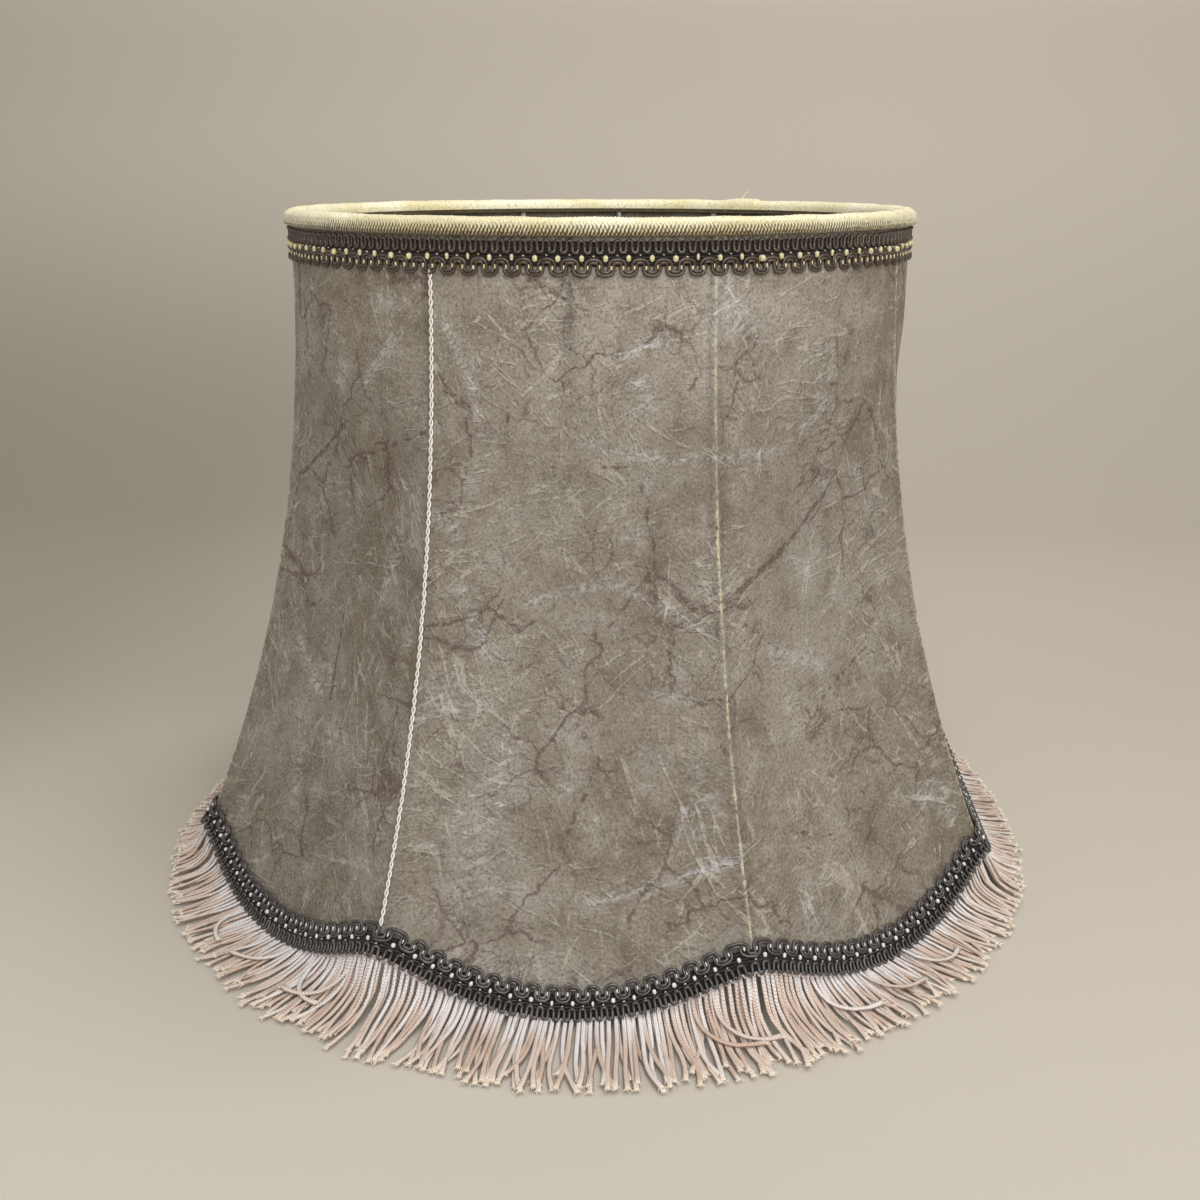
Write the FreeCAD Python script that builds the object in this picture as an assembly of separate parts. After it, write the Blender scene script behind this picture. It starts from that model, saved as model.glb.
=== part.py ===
"""A bell-shaped, eight-sided lamp shade: a welded wire frame, two stretched skins and its trims.

Units are millimetres. +Z is up, the origin is on the floor under the middle of the shade, and the
fitter's arms lie along X and Y. Angles are degrees anticlockwise from +X, so the front is at -90.
"""

import FreeCAD
import Part
import math
import os

# ---- Driving dimensions ----
BAYS = 8  # flat sides, with a rib at each corner
BELL_TOP = 322.0  # height at which the bell's flare dies out
WAIST_R = 147.2  # outside radius of the skin at the top
FLARE = 71.4  # how much further out the bell would be at the floor
FLARE_POWER = 2.24
ROUND_FROM, ROUND_TO = 170.0, 300.0  # the sides turn from flat to round between these heights

SKIN_T = 0.8
RIB_R = 1.5  # radius of the rib and hem wire
RING_R = 2.0  # radius of the top ring's wire
ARM_R = 1.75
WELD_GAP = 0.05  # running gap between a wire and the skin that covers it

RING_Z = 315.6  # height of the top ring's centre line
SKIN_TOP_Z = 317.0
HEM_PEAK_Z = 24.3  # the skin's lower edge at a rib
SCALLOP = 23.5  # how far the edge drops between two ribs
HEM_WIRE_UP = 2.2  # the hem wire lies this far above the skin's edge
BUTT = 1.3  # a rib's lower end clears the middle of the hem wires by this many radii

BRAID_W = 14.4  # width of the gimp braid, along the skin
BRAID_T = 1.5
TOP_BRAID_Z = 312.5  # upper edge of the top braid
HEADING_W = 9.0
HEADING_T = 0.8
TRIM_GAP = 0.1
THREAD_R = 0.75

BINDING_R, BINDING_HOLLOW_R = 5.2, 3.6  # outside and inside radius of the padded roll
BINDING_MID_R = 145.6
BINDING_OPEN = (-40.0, 200.0)  # the roll is open below, between these two angles

FITTER_HOLE_R = 21.0
FITTER_R = 30.0
FITTER_T = 1.6
FITTER_Z = 262.0  # underside of the fitter ring
ARM_START_R = 24.0
ARM_BEND_R = 20.0
ARMS = 4

FRINGE_T = 2.4  # depth of the strands that lie on the floor
FRINGE_REACH_MID = 33.0  # how far the strands reach past the braid between ribs
FRINGE_REACH_RIB = 21.0  # and at a rib, where they hang before they lie
FRINGE_OFF = 1.7

FRONT_SEAM, BACK_SEAM = 5, 1  # the ribs, counted from 0, where the two skins are sewn together

HALF = math.pi / BAYS
PARTS = "parts"


# ---- The bell ----
def bell(z):
    """Outside radius at a corner of the bell, and how steeply it grows downwards."""
    s = max(BELL_TOP - z, 0.0) / BELL_TOP
    return WAIST_R + FLARE * s**FLARE_POWER, FLARE * FLARE_POWER / BELL_TOP * s ** (FLARE_POWER - 1)


def roundness(z):
    """0 where the sides are flat, 1 where they follow the round top ring."""
    t = min(max((z - ROUND_FROM) / (ROUND_TO - ROUND_FROM), 0.0), 1.0)
    return t * t * (3 - 2 * t)


def rz(across, z, depth):
    """Radius at height z, for across from -1 to 1 between two ribs, depth inside the skin's outer face."""
    k = roundness(z)
    radius, slope = bell(z)
    middle = k + (1 - k) * math.cos(HALF)
    side = k + (1 - k) * math.cos(HALF) / math.cos(across * HALF)
    return (radius - depth * math.hypot(1.0, slope) / middle) * side


def point(bay, across, z, depth):
    """The point of bay 0..7 at that place. Bay b lies between ribs b - 1 and b, about angle 45 b."""
    angle = 2 * HALF * bay + across * HALF
    r = rz(across, z, depth)
    return FreeCAD.Vector(r * math.cos(angle), r * math.sin(angle), z)


def hem(across):
    """Height of the scalloped edge."""
    return HEM_PEAK_Z - SCALLOP * (1 - across * across)


def up_the_skin(z, width):
    """The height that lies width further up the skin from height z."""
    steps = 8
    for _ in range(steps):
        z += width / steps / math.hypot(1.0, bell(z)[1])
    return z


# ---- Shapes ----
def spread(low, high, count):
    return [low + (high - low) * i / (count - 1) for i in range(count)]


def surface(grid):
    made = Part.BSplineSurface()
    made.interpolate(grid)
    return made


def rim(outer, inner, side):
    """The narrow face that joins the same edge of two surfaces."""
    u0, u1, v0, v1 = outer.bounds()
    curves = []
    for s in (outer, inner):
        curve = {"u0": s.uIso(u0), "u1": s.uIso(u1), "v0": s.vIso(v0), "v1": s.vIso(v1)}[side]
        curves.append(curve.toShape())
    return Part.makeRuledSurface(*curves)


def closed(faces):
    """A solid from faces that meet edge to edge."""
    shell = Part.Compound(faces)
    shell.sewShape()
    made = Part.makeSolid(shell.Shells[0] if shell.Shells else shell)
    if made.Volume < 0:
        made.reverse()
    return made


def strip(bays, low, high, outside, inside, ring=False, columns=7, rows=13):
    """A layer that follows the bell. low and high give its edges' heights for a place across a bay,
    and outside and inside are its faces' depths under the skin's outer face."""
    faces = []
    for i, bay in enumerate(bays):
        pair = []
        for depth in (outside, inside):
            grid = []
            for across in spread(-1.0, 1.0, columns):
                heights = spread(low(across), high(across), rows)
                grid.append([point(bay, across, z, depth) for z in heights])
            pair.append(surface(grid))
        faces += [s.toShape() for s in pair]
        sides = ["v0", "v1"]
        if not ring and i == 0:
            sides.append("u0")
        if not ring and i == len(bays) - 1:
            sides.append("u1")
        faces += [rim(*pair, side) for side in sides]
    return closed(faces)


def direction(points):
    """The direction in which a smooth line through these points sets off."""
    line = Part.BSplineCurve()
    line.interpolate(points)
    return line.tangent(line.FirstParameter)[0]


def rod(path, radius):
    """A round wire along straight runs and arcs that meet smoothly."""
    wire = Part.Wire(path)
    edge = wire.Edges[0]
    start = edge.valueAt(edge.FirstParameter)
    along = edge.tangentAt(edge.FirstParameter)
    ring = Part.Wire([Part.makeCircle(radius, start, along)])
    return wire.makePipeShell([ring], True, False)


def bent_wire(points, along, radius):
    """A round wire bent through these points. It sets off in the direction along, and each arc goes on in
    the direction in which the one before it ended."""
    arcs = []
    for here, there in zip(points, points[1:]):
        chord = there - here
        straight = FreeCAD.Vector(chord).normalize()
        aside = along - straight * along.dot(straight)
        rise = chord.Length / 2 * math.tan(along.getAngle(straight) / 2)
        middle = (here + there) / 2 + aside.normalize() * rise
        arcs.append(Part.Arc(here, middle, there).toShape())
        along = straight * (2 * along.dot(straight)) - along
    return rod(arcs, radius)


def sector(bay):
    """All of space between the two ribs of a bay, as a wedge."""
    reach = 2 * (WAIST_R + FLARE)
    corners = [FreeCAD.Vector(0, 0, -1)]
    for across in (-1, 1):
        angle = 2 * HALF * bay + across * HALF
        corners.append(FreeCAD.Vector(reach * math.cos(angle), reach * math.sin(angle), -1))
    face = Part.Face(Part.makePolygon(corners + corners[:1]))
    return face.extrude(FreeCAD.Vector(0, 0, BELL_TOP + 2))


# ---- The frame ----
def top_ring():
    radius = WAIST_R - SKIN_T - WELD_GAP - RING_R
    return Part.makeTorus(radius, RING_R, FreeCAD.Vector(0, 0, RING_Z))


def hem_arc(bay):
    """One scallop of the hem wire, mitred at the two ribs."""
    depth = SKIN_T + WELD_GAP + RIB_R
    over = 1.04
    places = spread(-over, over, 9)
    line = [point(bay, a, hem(a) + HEM_WIRE_UP, depth) for a in places]
    return bent_wire(line, direction(line), RIB_R).common(sector(bay)).Solids[0]


def rib(number):
    """The rib at the corner after bay number, butt-welded to the top ring and to the hem wires' corner."""
    depth = SKIN_T + WELD_GAP + RIB_R
    heights = spread(HEM_PEAK_Z + HEM_WIRE_UP + BUTT * RIB_R, RING_Z - RING_R, 9)
    line = [point(number, 1.0, z, depth) for z in heights]
    return bent_wire(line, direction(line), RIB_R)


def fitter_ring():
    base = FreeCAD.Vector(0, 0, FITTER_Z)
    return Part.makeCylinder(FITTER_R, FITTER_T, base).cut(Part.makeCylinder(FITTER_HOLE_R, FITTER_T, base))


def fitter_arm(number, ring):
    """A dropped arm: out from the fitter ring, round a bend and up to the top ring."""
    low = FITTER_Z + FITTER_T + ARM_R
    top_r = WAIST_R - SKIN_T - WELD_GAP - RING_R
    lean = 2.5
    start = FreeCAD.Vector(ARM_START_R, 0, low)
    corner = FreeCAD.Vector(top_r - lean, 0, low)
    top = FreeCAD.Vector(top_r, 0, RING_Z)
    up = (top - corner).normalize()
    turn = math.acos(up.x)
    run = ARM_BEND_R * math.tan(turn / 2)
    a, b = corner - FreeCAD.Vector(run, 0, 0), corner + up * run
    middle_dir = (up - FreeCAD.Vector(1, 0, 0)).normalize()
    centre = corner + middle_dir * (ARM_BEND_R / math.cos(turn / 2))
    middle = centre - middle_dir * ARM_BEND_R
    path = [Part.makeLine(start, a), Part.Arc(a, middle, b).toShape(), Part.makeLine(b, top)]
    made = rod(path, ARM_R)
    made.rotate(FreeCAD.Vector(0, 0, 0), FreeCAD.Vector(0, 0, 1), 360.0 / ARMS * number)
    return max(made.cut(ring).Solids, key=lambda s: s.Volume)


# ---- The cover and its trims ----
def bays_between(first, last):
    """The bays from rib first round to rib last."""
    return [(first + 1 + i) % BAYS for i in range((last - first) % BAYS)]


def skin(first, last):
    return strip(bays_between(first, last), hem, lambda a: SKIN_TOP_Z, 0.0, SKIN_T)


def seam_thread(number):
    """The row of stitches along a sewn corner, as one thin cord from braid to braid."""
    low = up_the_skin(HEM_PEAK_Z, BRAID_W) + THREAD_R
    heights = spread(low, TOP_BRAID_Z - BRAID_W - THREAD_R, 9)
    line = [point(number, 1.0, z, -THREAD_R - TRIM_GAP) for z in heights]
    return bent_wire(line, direction(line), THREAD_R)


def top_binding():
    """The padded roll of tape round the top ring, open below where the skin goes in."""
    middle = FreeCAD.Vector(BINDING_MID_R, 0, RING_Z)
    ends = [math.radians(a) for a in BINDING_OPEN]
    edges, rims = [], []
    for radius in (BINDING_R, BINDING_HOLLOW_R):
        at = [
            middle + FreeCAD.Vector(radius * math.cos(a), 0, radius * math.sin(a))
            for a in (ends[0], sum(ends) / 2, ends[1])
        ]
        edges.append(Part.Arc(*at).toShape())
        rims.append((at[0], at[2]))
    for side in (0, 1):
        edges.append(Part.makeLine(rims[0][side], rims[1][side]))
    face = Part.Face(Part.Wire(Part.__sortEdges__(edges)))
    return face.revolve(FreeCAD.Vector(0, 0, 0), FreeCAD.Vector(0, 0, 1), 360)


def top_braid():
    inside, outside = -TRIM_GAP, -TRIM_GAP - BRAID_T
    everywhere = range(BAYS)
    return strip(everywhere, lambda a: TOP_BRAID_Z - BRAID_W, lambda a: TOP_BRAID_Z, outside, inside, True, 7, 5)


def heading():
    """The woven heading of the fringe, glued to the skin under the bottom braid."""
    inside, outside = -TRIM_GAP, -TRIM_GAP - HEADING_T
    return strip(range(BAYS), hem, lambda a: up_the_skin(hem(a), HEADING_W), outside, inside, True, 9, 4)


def bottom_braid():
    inside = -2 * TRIM_GAP - HEADING_T
    high = lambda a: up_the_skin(hem(a), BRAID_W)
    return strip(range(BAYS), hem, high, inside - BRAID_T, inside, True, 9, 5)


def fringe_bay(bay):
    """The strands of one bay: a skirt that hangs from the heading and then lies on the floor."""
    shelf, lift = 1.2, 0.3
    corners = [[], [], [], [], []]
    for across in spread(-1.0, 1.0, 9):
        low = hem(across)
        edge_r = rz(across, low, -2 * TRIM_GAP - HEADING_T - BRAID_T) + FRINGE_OFF
        reach = FRINGE_REACH_MID + (FRINGE_REACH_RIB - FRINGE_REACH_MID) * across * across
        top = max(low - lift, FRINGE_T)
        foot = edge_r - shelf + (reach - 3 * FRINGE_T) * across * across
        section = [
            (edge_r - shelf, top),
            (edge_r + shelf, top),
            (edge_r + reach, FRINGE_T),
            (edge_r + reach, 0.0),
            (foot, 0.0),
        ]
        angle = 2 * HALF * bay + across * HALF
        for line, (r, z) in zip(corners, section):
            line.append(FreeCAD.Vector(r * math.cos(angle), r * math.sin(angle), z))
    curves = []
    for line in corners:
        curve = Part.BSplineCurve()
        curve.interpolate(line)
        curves.append(curve.toShape())
    faces = [Part.makeRuledSurface(a, b) for a, b in zip(curves, curves[1:] + curves[:1])]
    for end in (0, -1):
        rim_points = [line[end] for line in corners]
        faces.append(Part.Face(Part.makePolygon(rim_points + rim_points[:1])))
    return closed(faces)


# ---- The whole shade ----
def build():
    ring = top_ring()
    arcs = [hem_arc(bay) for bay in range(BAYS)]
    made = {"top_ring": ring, "fitter_ring": fitter_ring()}
    for i in range(BAYS):
        made[f"rib_{i + 1}"] = rib(i)
        made[f"hem_arc_{i + 1}"] = arcs[i]
    for i in range(ARMS):
        made[f"fitter_arm_{i + 1}"] = fitter_arm(i, ring)
    made["skin_right"] = skin(FRONT_SEAM, BACK_SEAM)
    made["skin_left"] = skin(BACK_SEAM, FRONT_SEAM)
    made["seam_thread_front"] = seam_thread(FRONT_SEAM)
    made["seam_thread_back"] = seam_thread(BACK_SEAM)
    made["top_binding"] = top_binding()
    made["top_braid"] = top_braid()
    made["fringe_heading"] = heading()
    made["bottom_braid"] = bottom_braid()
    made["fringe"] = Part.Compound([fringe_bay(bay) for bay in range(BAYS)])
    return made


os.makedirs(PARTS, exist_ok=True)
for name, shape in build().items():
    box = shape.BoundBox
    print(
        f"{name}: {len(shape.Solids)} solid(s), {shape.Volume:.0f} mm3, valid {shape.isValid()},"
        f" z {box.ZMin:.2f} to {box.ZMax:.2f}, {box.XLength:.1f} x {box.YLength:.1f}"
    )
    shape.exportStep(os.path.join(PARTS, name + ".step"))
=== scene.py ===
# %% [markdown]
# # A bell-shaped lamp shade with a gimp braid and a fringe
#
# The shade is a welded wire frame with a cover stretched over it. The frame comes ready from the CAD
# model and is only given better finishes here. Everything soft is made in this file: two parchment skins,
# the stitches that join them, a wrapped roll of tape round the top, two lengths of scroll gimp and a
# fringe of several hundred strands.

# %% Load the frame
import math
import random

import bmesh
import bpy
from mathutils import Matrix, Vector, noise


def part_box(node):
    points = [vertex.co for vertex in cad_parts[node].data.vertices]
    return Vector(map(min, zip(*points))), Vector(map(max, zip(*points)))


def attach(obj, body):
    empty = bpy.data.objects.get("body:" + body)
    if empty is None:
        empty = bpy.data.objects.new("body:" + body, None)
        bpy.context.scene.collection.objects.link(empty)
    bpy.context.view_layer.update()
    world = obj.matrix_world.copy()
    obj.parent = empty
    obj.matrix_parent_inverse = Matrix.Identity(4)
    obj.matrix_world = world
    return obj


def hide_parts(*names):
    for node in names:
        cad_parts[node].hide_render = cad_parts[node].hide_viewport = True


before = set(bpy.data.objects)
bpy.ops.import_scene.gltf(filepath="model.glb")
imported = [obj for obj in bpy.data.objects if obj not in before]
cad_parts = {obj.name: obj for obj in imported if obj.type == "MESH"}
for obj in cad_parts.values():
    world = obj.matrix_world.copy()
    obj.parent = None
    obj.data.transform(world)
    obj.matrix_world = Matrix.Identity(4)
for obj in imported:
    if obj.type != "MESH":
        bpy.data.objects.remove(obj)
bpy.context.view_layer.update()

MM = 0.001

# %% [markdown]
# ## The camera and the light
#
# The shade is seen from the front, a little to the right of a bay's middle, and slightly from above: the
# camera is just higher than the top ring, so the ring shows as a thin ellipse. The lens is close to a
# phone's. The lights are large and soft: one in front, one above, a weaker one on each side and one for the
# wall. Large lights give the parchment its even, cloudy look and leave only a faint shadow round the fringe.

# %% Camera
CAMERA_TURN, CAMERA_PITCH = math.radians(4.5), math.radians(17.8)
CAMERA_AWAY, CAMERA_HEIGHT = 683.0, 339.1
LENS = 40.55


def add_camera():
    lens = bpy.data.cameras.new("camera")
    lens.lens = LENS
    lens.sensor_width = 36.0
    camera = bpy.data.objects.new("camera", lens)
    bpy.context.scene.collection.objects.link(camera)
    camera.location = Vector((math.sin(CAMERA_TURN), -math.cos(CAMERA_TURN), 0)) * CAMERA_AWAY * MM
    camera.location.z = CAMERA_HEIGHT * MM
    camera.rotation_euler = (math.pi / 2 - CAMERA_PITCH, 0, CAMERA_TURN)
    bpy.context.scene.camera = camera


def add_light(name, place, size, power, colour=(1.0, 1.0, 1.0)):
    """A square soft light that looks at the middle of the shade."""
    lamp = bpy.data.lights.new(name, "AREA")
    lamp.size = size
    lamp.energy = power
    lamp.color = colour
    light = bpy.data.objects.new(name, lamp)
    bpy.context.scene.collection.objects.link(light)
    light.location = place
    aim = Vector((0.0, 1.1, 1.7)) if name == "wall_wash" else Vector((0, 0, 0.16))
    light.rotation_euler = (aim - Vector(place)).to_track_quat("-Z", "Y").to_euler()


add_camera()
add_light("key_front", (0.25, -1.35, 1.05), 1.1, 14.5)
add_light("key_above", (0.1, -0.35, 1.5), 0.9, 5)
add_light("fill_right", (1.7, -0.9, 0.9), 1.2, 7, (1.0, 0.98, 0.96))
add_light("fill_left", (-1.8, -0.6, 0.9), 1.2, 4, (0.97, 0.98, 1.0))
add_light("wall_wash", (0.5, 0.30, 2.0), 0.9, 33, (1.0, 0.98, 0.97))
world = bpy.data.worlds.new("room")
bpy.context.scene.world = world
world.use_nodes = True
world.node_tree.nodes["Background"].inputs["Color"].default_value = (0.98, 0.97, 1.0, 1)
world.node_tree.nodes["Background"].inputs["Strength"].default_value = 0.30
bpy.context.scene.view_settings.view_transform = "Standard"
print("lights:", len(bpy.data.lights), "camera height, mm:", CAMERA_HEIGHT)

# %% [markdown]
# ## Finishes as sums
#
# A material is a small calculation that runs at every point of a surface. Wiring nodes by hand hides
# that calculation, so a `Signal` wraps one output socket and answers to `+`, `-` and `*` by adding
# a Math node. `1 - mask` then means what it says. Every other kind of node comes from `Finish.node`,
# which takes the node's type, its settings and what goes into its sockets.


# %% Signals and finishes
class Signal:
    """A number or colour that flows through a finish."""

    def __init__(self, finish, socket):
        self.finish, self.socket = finish, socket

    def math(self, operation, first, second=0.0):
        return self.finish.node("ShaderNodeMath", {"operation": operation}, {0: first, 1: second})

    def __add__(self, other):
        return self.math("ADD", self, other)

    def __sub__(self, other):
        return self.math("SUBTRACT", self, other)

    def __rsub__(self, other):
        return self.math("SUBTRACT", other, self)

    def __mul__(self, other):
        return self.math("MULTIPLY", self, other)

    def __abs__(self):
        return self.math("ABSOLUTE", self)

    def step(self, low, high):
        """0 below low, 1 above high and smooth between them. With low above high it falls instead."""
        ends = {"Value": self, "From Min": low, "From Max": high}
        return self.finish.node("ShaderNodeMapRange", {"interpolation_type": "SMOOTHSTEP"}, ends)

    __radd__, __rmul__ = __add__, __mul__


class Finish:
    """A material with one Principled shader."""

    def __init__(self, name):
        self.material = bpy.data.materials.new(name)
        self.material.use_nodes = True
        self.tree = self.material.node_tree
        self.shader = self.tree.nodes["Principled BSDF"]

    def node(self, kind, settings=(), inputs=(), output=0):
        made = self.tree.nodes.new(kind)
        for name, value in dict(settings).items():
            setattr(made, name, value)
        self.feed(made, inputs)
        return Signal(self, made.outputs[output])

    def feed(self, node, inputs):
        for name, value in dict(inputs).items():
            if isinstance(value, Signal):
                self.tree.links.new(value.socket, node.inputs[name])
            else:
                node.inputs[name].default_value = value

    def surface(self, inputs):
        self.feed(self.shader, inputs)
        return self.material

    def noise(self, where, scale, detail=2.0, roughness=0.5, distortion=0.0, output=0):
        parts = {"Vector": where, "Scale": scale, "Detail": detail}
        parts.update({"Roughness": roughness, "Distortion": distortion})
        return self.node("ShaderNodeTexNoise", {}, parts, output)

    def mapped(self, where, scale=(1, 1, 1), turn=0.0, shift=(0, 0, 0)):
        """Coordinates that are turned first and stretched afterwards, so a pattern runs along the turn."""
        parts = {"Vector": where, "Rotation": (0, 0, turn), "Location": shift}
        parts["Scale"] = tuple(1 / s for s in scale)
        return self.node("ShaderNodeMapping", {"vector_type": "TEXTURE"}, parts)

    def mix(self, share, one, other):
        """one where share is 0, other where it is 1."""
        parts = {0: share, 6: one, 7: other}
        return self.node("ShaderNodeMix", {"data_type": "RGBA"}, parts, 2)

    def bump(self, height, strength, distance):
        parts = {"Height": height, "Strength": strength, "Distance": distance}
        return self.node("ShaderNodeBump", {}, parts)

    def attribute(self, name, output="Fac"):
        return self.node("ShaderNodeAttribute", {"attribute_name": name}, {}, output)


def srgb(red, green, blue):
    """A colour as a paint chart gives it, from 0 to 255, in the linear form that nodes use."""
    shares = [c / 255 for c in (red, green, blue)]
    return tuple(s / 12.92 if s <= 0.04 else ((s + 0.055) / 1.055) ** 2.4 for s in shares) + (1,)


# %% [markdown]
# ## The shape that everything follows
#
# The cover is a bell with eight sides. Its outline is one formula: the radius at a rib grows towards
# the floor with a power of the depth below the top. Between two ribs the skin is pulled flat, except
# near the top, where it takes the round shape of the ring. The hem is a row of eight scallops that
# hang lowest between the ribs. These functions turn an angle and a height into a place, and every
# soft piece below asks them where it goes, so the pieces fit each other and the frame.

# %% The bell
BAYS = 8
HALF = math.pi / BAYS
BELL_TOP, WAIST_R, FLARE, FLARE_POWER = 322.0, 147.2, 71.4, 2.24
ROUND_FROM, ROUND_TO = 170.0, 300.0  # eight-sided below the first height, round above the second
SKIN_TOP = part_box("skin_left")[1].z / MM
HEM_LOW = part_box("skin_left")[0].z / MM
HEM_PEAK = HEM_LOW + 23.5
PEAK_ROUNDING = 0.07  # of half a bay
FRONT_SEAM, BACK_SEAM = 5, 1  # the ribs that are sewn; over the others the skin is only folded


def smooth(value, low, high):
    t = min(max((value - low) / (high - low), 0.0), 1.0)
    return t * t * (3 - 2 * t)


def across_bay(turn):
    """From -1 at a bay's first rib to 1 at its second."""
    return (turn / HALF + 1) % 2 - 1


def skin_radius(turn, z):
    depth = max(BELL_TOP - z, 0.0) / BELL_TOP
    radius = WAIST_R + FLARE * depth**FLARE_POWER
    round_share = smooth(z, ROUND_FROM, ROUND_TO)
    flat = math.cos(HALF) / math.cos(across_bay(turn) * HALF)
    return radius * (round_share + (1 - round_share) * flat)


def level(turn, radius, z):
    return Vector((radius * math.cos(turn), radius * math.sin(turn), z)) * MM


def outward(turn, z, reach=1.5):
    """The direction straight out of the skin. reach, in degrees and mm, is how far it looks to each side."""
    ahead = level(turn + math.radians(reach), skin_radius(turn + math.radians(reach), z), z)
    behind = level(turn - math.radians(reach), skin_radius(turn - math.radians(reach), z), z)
    above = level(turn, skin_radius(turn, z + reach), z + reach)
    below = level(turn, skin_radius(turn, z - reach), z - reach)
    return (ahead - behind).cross(above - below).normalized()


def on_skin(turn, z, proud=0.0):
    """The place at an angle and a height, this many mm proud of the skin."""
    here = level(turn, skin_radius(turn, z), z)
    return here + outward(turn, z) * proud * MM if proud else here


def hem(turn):
    """Height of the scalloped edge, softly rounded where two scallops meet."""
    from_rib = math.hypot(1 - abs(across_bay(turn)), PEAK_ROUNDING)
    return HEM_PEAK - (HEM_PEAK - HEM_LOW) * (1 - (1 - from_rib) ** 2)


print("hem at a rib and between ribs, mm:", round(hem(HALF), 1), round(hem(0), 1))

# %% [markdown]
# A braid or a fringe runs along an edge. A `Track` walks once round the shade along such an edge and
# remembers, at each step, how far it has come, where it is, which way is up the skin and which way is
# out. Asking it for a place 300 mm along, 2 mm up and 1 mm out is then a matter of looking between
# two steps.


# %% Tracks
class Track:
    def __init__(self, height, steps=1440):
        self.stops, length, last = [], 0.0, None
        for i in range(steps + 1):
            turn = 2 * math.pi * i / steps
            here = on_skin(turn, height(turn))
            out = outward(turn, height(turn), 3.0)
            step = 2 * math.pi / steps
            run = on_skin(turn + step, height(turn + step)) - on_skin(turn - step, height(turn - step))
            length += (here - last).length / MM if last else 0.0
            last = here
            self.stops.append((length, here, out.cross(run.normalized()).normalized(), out))
        self.length = length
        self.turns = steps

    def at(self, along, up=0.0, out=0.0):
        """The place this many mm along the edge, up the skin from it and out from the skin."""
        along %= self.length
        low, high = 0, self.turns
        while high - low > 1:
            middle = (low + high) // 2
            if self.stops[middle][0] <= along:
                low = middle
            else:
                high = middle
        a, b = self.stops[low], self.stops[high]
        share = (along - a[0]) / (b[0] - a[0])
        here, rise, away = (a[i].lerp(b[i], share) for i in (1, 2, 3))
        return here + (rise * up + away * out) * MM


TOP_BRAID_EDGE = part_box("top_braid")[0].z / MM
top_track = Track(lambda turn: TOP_BRAID_EDGE)
hem_track = Track(hem)
print("round the top, mm:", round(top_track.length), "round the hem:", round(hem_track.length))


def show(name, mesh, materials, node_names):
    """Puts a finished mesh in the scene, in place of the CAD nodes that it stands for."""
    piece = bpy.data.objects.new(name, mesh)
    bpy.context.scene.collection.objects.link(piece)
    for material in materials:
        mesh.materials.append(material)
    mesh.shade_smooth()
    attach(piece, "root")
    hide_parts(*node_names)
    mesh.calc_loop_triangles()
    print(name, "has", len(mesh.loop_triangles), "triangles")
    return piece


# %% [markdown]
# ## The parchment
#
# The cover is a thin, tough sheet that looks like real skin: taupe, cloudy, with pale scratches and
# creases that run across each other, reddish veins and a few milky scuffs. None of that repeats, so it
# is built from noise. A crease is the thin line where stretched noise crosses its middle value. Noise that
# is stretched one way gives creases that mostly run that way, so seven of them, each turned differently and
# each shown only in places, cross as real creases do. Veins are the borders between the cells of a Voronoi
# pattern, bent and frayed.
#
# The pattern is drawn on a flat map of the skin, in metres, so it follows the sheet over the folds.


# %% The parchment's finish
def creases(finish, where, turn, spacing, thin, shift):
    """Thin lines that run mostly one way. spacing is how many could lie side by side in a metre."""
    stretched = finish.mapped(where, (spacing * 0.11, spacing, 1), turn, (shift, 0, 0))
    field = finish.noise(stretched, 1.0, 1.5, 0.5, 0.3)
    here = finish.noise(finish.mapped(where, (1, 1, 1), 0, (0, shift, 0)), 18.0, 4.0, 0.65)
    return abs(field - 0.5).step(thin, thin * 0.25) * here.step(0.49, 0.60)


def cell_borders(finish, where, scale, turn, stretch, thin):
    turned = finish.mapped(where, (scale, scale * stretch, 1), turn)
    parts = {"Vector": turned, "Scale": 1.0}
    cells = finish.node("ShaderNodeTexVoronoi", {"feature": "DISTANCE_TO_EDGE"}, parts)
    return cells.step(thin, 0.0)


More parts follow.
